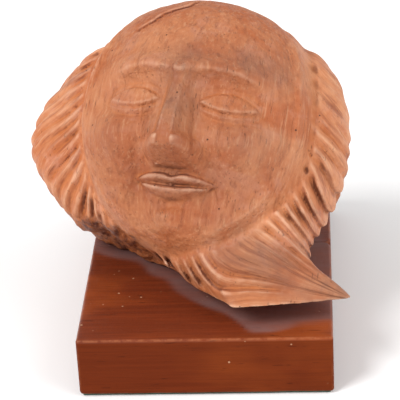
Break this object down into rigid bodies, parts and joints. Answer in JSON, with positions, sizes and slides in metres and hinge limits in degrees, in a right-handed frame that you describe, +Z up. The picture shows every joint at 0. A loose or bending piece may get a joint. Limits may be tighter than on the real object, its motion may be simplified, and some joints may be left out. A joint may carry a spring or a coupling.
{
  "type": "carved wooden head on a plinth",
  "caption": "Carved wooden head with closed eyes, fluted hair and a beard swept to one side, leaning back on a stained rectangular wooden plinth with a felt underside.",
  "frame": {"origin": "middle of the felt's underside, which rests on the shelf or table", "axes": "+Z up; the face looks towards -Y and upwards; +X to the viewer's right; the plinth's long sides run along Y"},
  "size_m": [0.2698, 0.3048, 0.2559],
  "materials": {
    "carved_wood": "hand carved, thin wax, darker in the cuts",
    "stained_wood": "reddish-brown stain under satin varnish, worn edges",
    "dowel_wood": "bare beech",
    "zinc_steel": "zinc plated",
    "green_felt": "pressed wool felt"
  },
  "bodies": {
    "root": {"head_carving": "carved_wood", "plinth_front_board": "stained_wood", "plinth_rear_board": "stained_wood", "joint_dowel_left": "dowel_wood", "joint_dowel_right": "dowel_wood", "mounting_screw_left": "zinc_steel", "mounting_screw_right": "zinc_steel", "screw_washer_left": "zinc_steel", "screw_washer_right": "zinc_steel", "base_felt": "green_felt"}
  },
  "joints": []
}
